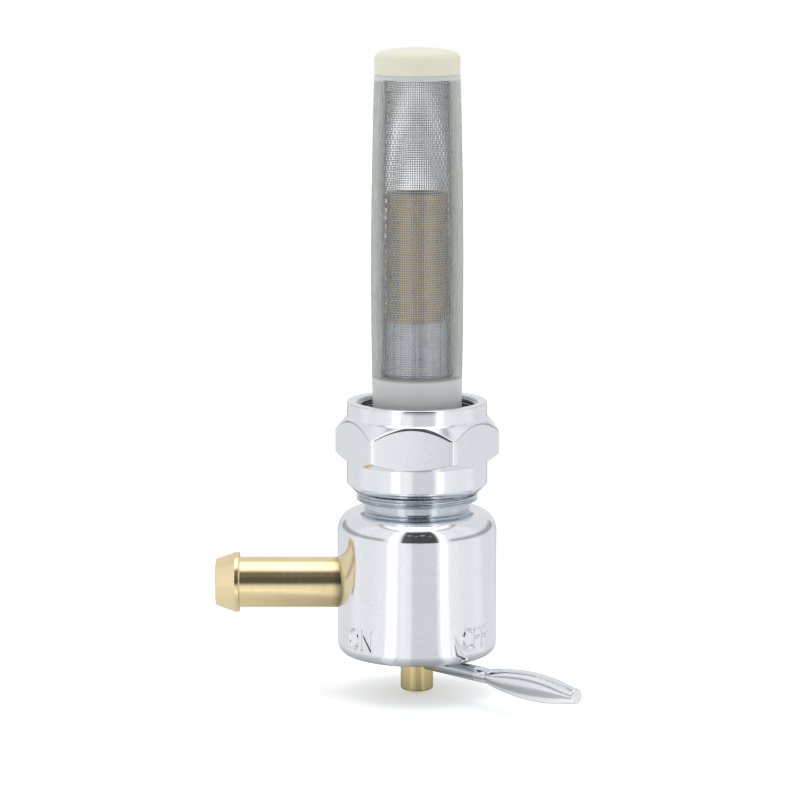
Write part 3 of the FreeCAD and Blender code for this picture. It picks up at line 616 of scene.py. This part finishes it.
def make_body(chrome):
    """The barrel with its neck, thread and spigot, and the marks pressed in."""
    thread_rows = 12
    row_pitch = THREAD_PITCH / thread_rows
    rows = [(THREAD_RADIUS, THREAD_END + 0.15 + step * row_pitch) for step in range(1, 34)]
    letters = [(BODY_RADIUS, height) for height in (-45.9, -45.2, -44.2, -43.2, -42.2, -41.2, -40.2)]
    corners = [
        (CHAMBER_RADIUS, BODY_BOTTOM, 0.4, 3),
        (BODY_RADIUS, BODY_BOTTOM, 2.0, 8),
        *letters,
        (BODY_RADIUS, -30),
        (BODY_RADIUS, BODY_TOP, 4.2, 18),
        (NECK_RADIUS, BODY_TOP, 0.5, 5),
        (NECK_RADIUS, THREAD_END, 0.15, 2),
        (THREAD_RADIUS, THREAD_END, 0.15, 3),
        *rows,
        (THREAD_RADIUS, THREAD_TOP, 0.6, 3),
        (SPIGOT_RADIUS, THREAD_TOP),
        (SPIGOT_RADIUS, SPIGOT_TOP, 0.25, 3),
        (PIPE_RADIUS, SPIGOT_TOP),
        (PIPE_RADIUS, SOCKET_FLOOR),
        (0, SOCKET_FLOOR),
        (0, PLATE_FOOT),
        (CHAMBER_RADIUS, PLATE_FOOT),
    ]
    body = turned("tap_body", rounded(corners), 240)
    for vertex in body.data.vertices:
        x, y, z = vertex.co / MM
        radius = math.hypot(x, y)
        if abs(radius - THREAD_RADIUS) < 0.01 and THREAD_END + 0.2 < z < THREAD_TOP - 1:
            angle = math.atan2(y, x)
            shift = thread_shift(angle, z, THREAD_PITCH, THREAD_DEPTH, THREAD_TOP, THREAD_END + 0.1)
            vertex.co.x *= (radius - shift) / radius
            vertex.co.y *= (radius - shift) / radius

    def marked(face):
        x, y, z = face.center / MM
        return math.hypot(x, y) > BODY_RADIUS - 0.1 and by_marks(x, y, z, MARKS_HEAD)

    edit_chosen(body, "FACE", marked, lambda: bpy.ops.mesh.subdivide(number_cuts=4))
    press_marks(body)
    smooth(body, 40)
    dress(body, chrome, "valve", "chrome", "valve_body")


def make_nut(chrome):
    """The tank nut: turned collars, a hexagon with turned chamfers and soft edges, threads in its mouth."""
    collar = [
        (11.45, NUT_BOTTOM, 0.1, 2),
        (11.7, NUT_BOTTOM),
        (NUT_SKIRT_RADIUS, -15.5, 0.25, 4),
        (NUT_SKIRT_RADIUS, -11.5),
        (NUT_SKIRT_RADIUS, -11.38),
    ]
    lower_chamfer = [(NUT_SKIRT_RADIUS + 0.147 * step, -11.32 + 0.0945 * step) for step in range(1, 15)]
    middle_heights = (-9.8, -9.6, -9.3, -9.0, -8.6, -8.2, -7.75, -7.3, -6.9, -6.5, -6.2, -5.9, -5.7)
    middle = [(NUT_CORNER_RADIUS, height) for height in middle_heights]
    upper_chamfer = [(NUT_CORNER_RADIUS - 0.15 * step, -5.6 + 0.18 * step) for step in range(0, 15)]
    mouth_rows = [(TANK_THREAD_RADIUS, -0.8 - 0.1 * step) for step in range(0, 66)]
    corners = [
        *collar,
        *lower_chamfer,
        (NUT_CORNER_RADIUS, -9.9),
        *middle,
        *upper_chamfer,
        (NUT_COLLAR_RADIUS, -2.95),
        (NUT_COLLAR_RADIUS, -2.8),
        (NUT_COLLAR_RADIUS, 0.0, 0.3, 4),
        (11.75, 0.0, 0.15, 3),
        *mouth_rows,
        (TANK_THREAD_RADIUS, TANK_THREAD_FOOT),
        (11.45, -7.65),
    ]
    nut = turned("tank_nut", rounded(corners), 480)
    soft, mouth_depth = 0.3, 0.5
    for vertex in nut.data.vertices:
        x, y, z = vertex.co / MM
        radius = math.hypot(x, y)
        angle = math.atan2(y, x)
        new_radius = radius
        if radius > 13.05 and -11.33 < z < -2.9:
            from_flat = (angle - NUT_TURN) % (math.pi / 3) - math.pi / 6
            new_radius = softly_least(radius, NUT_APOTHEM / math.cos(from_flat), soft)
        elif abs(radius - TANK_THREAD_RADIUS) < 0.01 and z < -0.75:
            cut = thread_shift(-angle, z, THREAD_PITCH, mouth_depth, -0.6, TANK_THREAD_FOOT)
            new_radius = radius - mouth_depth + cut
        vertex.co.x *= new_radius / radius
        vertex.co.y *= new_radius / radius
    smooth(nut, 50, weighted=False)
    dress(nut, chrome, "nut", "chrome", "union_nut")


def strainer_radius(height):
    """The strainer's outer radius at a height, on the curve through its base, belly and top."""
    base, belly = (0.0, STRAINER_BASE_RADIUS), (STRAINER_BELLY, STRAINER_BELLY_RADIUS)
    top = (STRAINER_TOP, STRAINER_TOP_RADIUS)
    total = 0
    for here, first, second in ((base, belly, top), (belly, base, top), (top, base, belly)):
        share = (height - first[0]) * (height - second[0]) / ((here[0] - first[0]) * (here[0] - second[0]))
        total = total + here[1] * share
    return total


def points_of(piece):
    """The piece's vertices as rows of x, y and z."""
    flat = np.empty(len(piece.data.vertices) * 3)
    piece.data.vertices.foreach_get("co", flat)
    return flat.reshape(-1, 3)


def move_points(piece, points):
    """Put the piece's vertices at these points."""
    piece.data.vertices.foreach_set("co", np.ascontiguousarray(points, dtype=np.float32).ravel())
    piece.data.update()


def front_angle(x, y):
    """The angle from the nearer window's middle, front or back."""
    return math.atan2(abs(x), abs(y))


def make_strainer_frame(nylon):
    """The moulded frame: collar, two broad ribs and a top ring, rounded at every edge."""
    heights = [COLLAR_TOP - 0.02, *[COLLAR_TOP + 1 + step * 3.35 for step in range(16)], WINDOW_TOP - 0.5]
    outline = [(STRAINER_BASE_RADIUS, STRAINER_FOOT), (STRAINER_BASE_RADIUS, STEP_TOP)]
    outline += [(strainer_radius(z), z) for z in (3.4, *heights, WINDOW_TOP)]
    outline.append((STRAINER_TOP_RADIUS, STRAINER_TOP))
    frame_piece = turned("strainer_frame_shell", outline, 180, closed=False)

    def in_window(face):
        x, y, z = face.center / MM
        return COLLAR_TOP - 0.01 < z < WINDOW_TOP and front_angle(x, y) < WINDOW_HALF_ANGLE

    edit_chosen(frame_piece, "FACE", in_window, lambda: bpy.ops.mesh.delete(type="FACE"))
    apply_modifier(frame_piece, "SOLIDIFY", thickness=STRAINER_WALL * MM, offset=-1)
    apply_modifier(frame_piece, "BEVEL", width=0.16 * MM, segments=3, limit_method="ANGLE",
                   angle_limit=math.radians(50))
    smooth(frame_piece, 40)
    dress(frame_piece, nylon, "valve", "clear_nylon", "strainer_frame")
    lining_radius = 7.34
    lining = turned("strainer_foot", rounded([
        (SPIGOT_RADIUS, STRAINER_FOOT),
        (lining_radius, STRAINER_FOOT),
        (lining_radius, STEP_TOP, 0.2, 3),
        (SPIGOT_RADIUS, STEP_TOP, 0.2, 3),
    ]), 180)
    smooth(lining)
    dress(lining, nylon, "valve", "clear_nylon")


def make_screen(wire):
    """Woven wire: a flat weave of one pair of wires each way, repeated and wrapped round the strainer."""
    around, rows = 106, 130
    foot, top = COLLAR_TOP - 1.2, WINDOW_TOP + 0.6
    pitch = (top - foot) / rows
    thick, inset = 0.079, 0.2
    for name, across in (("screen_uprights", True), ("screen_rings", False)):
        wires, crossings = (around, rows) if across else (rows, around)
        deselect()
        bpy.ops.mesh.primitive_cylinder_add(vertices=5, radius=thick, depth=1, end_fill_type="NOTHING")
        piece = bpy.context.object
        piece.name = name
        bpy.ops.object.mode_set(mode="EDIT")
        bpy.ops.mesh.select_all(action="SELECT")
        bpy.ops.transform.resize(value=(1, 1, crossings))
        bpy.ops.transform.translate(value=(0, 0, crossings / 2))
        bpy.ops.object.mode_set(mode="OBJECT")
        divide_lengthwise(piece, crossings)
        for vertex in piece.data.vertices:
            vertex.co.y += thick * (1 if round(vertex.co.z) % 2 else -1)
        choose(piece)
        bpy.ops.object.mode_set(mode="EDIT")
        bpy.ops.mesh.select_all(action="SELECT")
        bpy.ops.mesh.duplicate_move(TRANSFORM_OT_translate={"value": (1, 0, 0)})
        bpy.ops.object.mode_set(mode="OBJECT")
        for vertex in piece.data.vertices:
            if vertex.co.x > 0.5:
                vertex.co.y -= 2 * thick * (1 if round(vertex.co.z) % 2 else -1)
        apply_modifier(piece, "ARRAY", count=wires // 2, use_relative_offset=False,
                       use_constant_offset=True, constant_offset_displace=(2, 0, 0))
        x, y, z = points_of(piece).T
        middle = np.round(x)
        spread = middle + (x - middle) / pitch
        column, row = (spread, z) if across else (z, spread)
        out = y if across else -y
        turn = math.tau * column / around
        height = foot + pitch * row
        radius = strainer_radius(height) - STRAINER_WALL - inset + out
        move_points(piece, np.stack([radius * np.sin(turn), -radius * np.cos(turn), height], axis=1) * MM)
        choose(piece)
        bpy.ops.object.shade_smooth()
        dress(piece, wire, "valve", "steel_wire", *(["strainer_screen"] if across else []))


def divide_lengthwise(piece, count):
    """Cut a long wire into short lengths."""

    def lengthwise(edge):
        first, second = [piece.data.vertices[index].co for index in edge.vertices]
        return abs(first.z - second.z) > 0.5

    edit_chosen(piece, "EDGE", lengthwise, lambda: bpy.ops.mesh.subdivide(number_cuts=count - 1))


def make_cap(cream):
    """The moulded cap: a crowned top, a rounded rim and a plug inside the screen."""
    plug = 6.63
    radius = STRAINER_TOP_RADIUS
    crown_radius = (radius * radius + CAP_CROWN * CAP_CROWN) / (2 * CAP_CROWN)
    crown_edge, crown_steps = 6.6, 12
    crown = []
    for step in range(1, crown_steps):
        out = crown_edge * (1 - step / crown_steps)
        crown.append((out, CAP_RIM + CAP_CROWN - crown_radius + math.sqrt(crown_radius ** 2 - out * out)))
    corners = [
        (0, WINDOW_TOP),
        (plug, WINDOW_TOP, 0.2, 3),
        (plug, STRAINER_TOP),
        (radius, STRAINER_TOP, 0.12, 2),
        (radius, CAP_RIM, 1.4, 10),
        *crown,
        (0, CAP_RIM + CAP_CROWN),
    ]
    cap = turned("moulded_cap", rounded(corners), 160)
    smooth(cap, 60)
    dress(cap, cream, "valve", "cream_plastic", "strainer_cap")


def make_standpipe(brass):
    """The tube that stands in the body's spigot."""
    bore = PIPE_RADIUS - PIPE_WALL
    pipe = turned("brass_standpipe", rounded([
        (bore, SOCKET_FLOOR),
        (PIPE_RADIUS, SOCKET_FLOOR),
        (PIPE_RADIUS, PIPE_TOP, 0.2, 3),
        (bore, PIPE_TOP, 0.2, 3),
    ]), 160)
    smooth(pipe)
    dress(pipe, brass, "valve", "brass", "standpipe")


def make_nipple(brass):
    """The hose nipple with its barb and chamfered mouth."""
    nipple = turned("hose_nipple", rounded([
        (NIPPLE_BORE, NIPPLE_START),
        (NIPPLE_RADIUS, NIPPLE_START),
        (NIPPLE_RADIUS, BARB_START, 0.15, 3),
        (BARB_RADIUS, BARB_START, 0.12, 3),
        (BARB_RADIUS, BARB_START + 0.8, 0.3, 4),
        (4.33, NIPPLE_END, 0.3, 4),
        (NIPPLE_BORE + 0.35, NIPPLE_END, 0.1, 2),
        (NIPPLE_BORE, NIPPLE_END - 0.4, 0.1, 2),
    ]), 160)
    lay_along_outlet(nipple)
    smooth(nipple, 30)
    dress(nipple, brass, "valve", "brass", "outlet_nipple")


def make_stem(brass):
    """The plug's turned brass with the stem that shows under the body."""
    plug_radius, groove, core = 7.95, 6.47, 2.5
    stem = turned("valve_stem", rounded([
        (0, STEM_BOTTOM),
        (STEM_RADIUS, STEM_BOTTOM, 0.5, 6),
        (STEM_RADIUS, -42.4),
        (plug_radius, -42.4),
        (plug_radius, -41.25),
        (groove, -41.25),
        (groove, -39.55),
        (plug_radius, -39.55),
        (plug_radius, -38.4),
        (core, -38.4),
        (core, -31.0),
        (plug_radius, -31.0),
        (plug_radius, -30.35),
        (groove, -30.35),
        (groove, -28.65),
        (plug_radius, -28.65),
        (plug_radius, -28.0),
        (0, -28.0),
    ]), 96)
    smooth(stem, 40)
    dress(stem, brass, "lever", "brass", "valve_plug")


def make_lever(chrome):
    """The round rod with its bent tail, drawn out to a flattened paddle with a round flat end."""
    rod, sides = 1.45, 32
    bend, bend_turn, bend_steps = 1.9, math.radians(62), 8
    bend_start, tail_length = -4.6, 0.9

    def in_bend(turn):
        return Vector((bend_start - bend * math.sin(turn), -bend * (1 - math.cos(turn))))

    stations = []
    far = in_bend(bend_turn)
    tail = far + Vector((-math.cos(bend_turn), -math.sin(bend_turn))) * tail_length
    for share in (0.0, 0.12, 0.3, 1.0):
        size = rod - 0.25 * (1 - ease(0, 0.3, share))
        stations.append((tail.lerp(far, share), bend_turn, size, size))
    for step in range(1, bend_steps):
        turn = bend_turn * (1 - step / bend_steps)
        stations.append((in_bend(turn), turn, rod, rod))
    stations += [(Vector((x, 0)), 0, rod, rod) for x in (bend_start, 0, 8, 15, 18.2)]
    waist = ((18.55, 1.4), (18.75, 1.33), (18.95, 1.42))
    stations += [(Vector((x, 0)), 0, half, half) for x, half in waist]
    # Distance along the lever, half height, half width
    paddle = [
        (19.6, 1.58, 1.6), (20.4, 1.74, 1.78), (21.5, 1.9, 1.9), (23.2, 2.12, 1.9), (25.2, 2.36, 1.86),
        (27.5, 2.56, 1.82), (30, 2.65, 1.8), (32.5, 2.56, 1.78), (34.8, 2.32, 1.75), (36.8, 2.0, 1.7),
        (38.4, 1.72, 1.6), (39.7, 1.54, 1.5), (40.45, 1.48, 1.46), (40.65, 1.42, 1.4), (40.7, 1.3, 1.28),
    ]
    stations += [(Vector((x, 0)), 0, tall, wide) for x, tall, wide in paddle]

    def ring(station):
        """Points of one section: round on the rod, flat-sided with rounded edges on the paddle."""
        spot, tilt, tall, wide = station
        flat = ease(19.2, 24, spot.x) * (1 - ease(36, 40.3, spot.x))
        power = 1 - 0.42 * flat
        points = []
        for side in range(sides):
            turn = math.tau * side / sides
            across = math.copysign(abs(math.cos(turn)) ** power, math.cos(turn)) * wide
            upward = math.copysign(abs(math.sin(turn)) ** (1 - 0.15 * flat), math.sin(turn)) * tall
            along = spot.x + upward * math.sin(tilt)
            height = spot.y + upward * math.cos(tilt)
            x = along * math.cos(LEVER_TURN) - across * math.sin(LEVER_TURN)
            y = along * math.sin(LEVER_TURN) + across * math.cos(LEVER_TURN)
            points.append(Vector((x, y, height + LEVER_Z)) * MM)
        return points

    deselect()
    bpy.ops.mesh.primitive_circle_add(vertices=sides, radius=rod * MM, fill_type="NOTHING")
    lever = bpy.context.object
    lever.name = "finger_lever"
    bpy.ops.object.mode_set(mode="EDIT")
    bpy.ops.mesh.select_all(action="SELECT")
    for _ in stations[1:]:
        bpy.ops.mesh.extrude_region_move(TRANSFORM_OT_translate={"value": (0, 0, MM)})
    bpy.ops.object.mode_set(mode="OBJECT")
    order = sorted(lever.data.vertices, key=lambda vertex: vertex.co.z)
    for index, station in enumerate(stations):
        level = sorted(
            order[index * sides:(index + 1) * sides],
            key=lambda vertex: math.atan2(vertex.co.y, vertex.co.x) % math.tau,
        )
        for vertex, spot in zip(level, ring(station)):
            vertex.co = spot
    choose(lever)
    bpy.ops.object.mode_set(mode="EDIT")
    bpy.ops.mesh.select_mode(type="EDGE")
    bpy.ops.mesh.select_all(action="DESELECT")
    bpy.ops.mesh.select_non_manifold()
    bpy.ops.mesh.fill_holes(sides=0)
    bpy.ops.mesh.select_all(action="SELECT")
    bpy.ops.mesh.normals_make_consistent(inside=False)
    bpy.ops.mesh.select_mode(type="VERT")
    bpy.ops.object.mode_set(mode="OBJECT")
    apply_modifier(lever, "SUBSURF", levels=1, render_levels=1)
    smooth(lever, 40, weighted=False)
    dress(lever, chrome, "lever", "chrome", "lever")


def finish_inner_pieces(finishes):
    """Give the CAD nodes that stay their finishes."""
    for name, made in finishes.items():
        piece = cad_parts[name]
        for slot in piece.material_slots:
            slot.material = made


make_camera()
make_world()
make_floor()
bpy.context.scene.view_settings.view_transform = "Standard"

# Painted shade in the chrome: the body's neck under the nut, inside the nut's thread, and the lever's rod
# under the body.
chrome = make_chrome("bright_chrome", (11.6, -20.5, -16.0), (0.58, 0.62, 0.66))
nut_chrome = make_chrome("nut_chrome", (11.55, -8.0, -0.3), (0.3, 0.31, 0.31))
lever_chrome = make_chrome("lever_chrome", (16.0, -56.0, -44.0), (0.64, 0.67, 0.7))
# The standpipe's brass is the stem's brass painted darker, as painted shade inside the strainer.
shaded_pipe_brass = make_brass("turned_brass_pipe", "Z", (0.5, 0.36, 0.13), (0.7, 0.54, 0.24))
stem_brass = make_brass("turned_brass_stem", "Z", (0.86, 0.67, 0.29), (1.0, 0.82, 0.44))
nipple_brass = make_brass("turned_brass_outlet", "X", (0.86, 0.67, 0.35), (1.0, 0.86, 0.56))
steel = make_plain("spring_steel", (0.4, 0.41, 0.43), (0.55, 0.56, 0.58), 0.25, 0.4, metallic=1.0)
ptfe = make_plain("white_ptfe", (0.86, 0.86, 0.83), (0.93, 0.93, 0.91), 0.4, 0.55)
rubber = make_plain("black_rubber", (0.02, 0.02, 0.02), (0.05, 0.05, 0.05), 0.5, 0.7)

make_body(chrome)
make_nut(nut_chrome)
make_strainer_frame(make_nylon())
make_screen(make_wire())
make_cap(make_cream())
make_standpipe(shaded_pipe_brass)
make_nipple(nipple_brass)
make_stem(stem_brass)
make_lever(lever_chrome)
finish_inner_pieces({
    "tank_gasket": rubber,
    "port_seat": ptfe,
    "seat_pin": steel,
    "plug_seal_upper": rubber,
    "plug_seal_lower": rubber,
    "thrust_washer": ptfe,
    "disc_spring": steel,
    "end_plate": stem_brass,
    "stem_seal": rubber,
    "retaining_ring": steel,
})
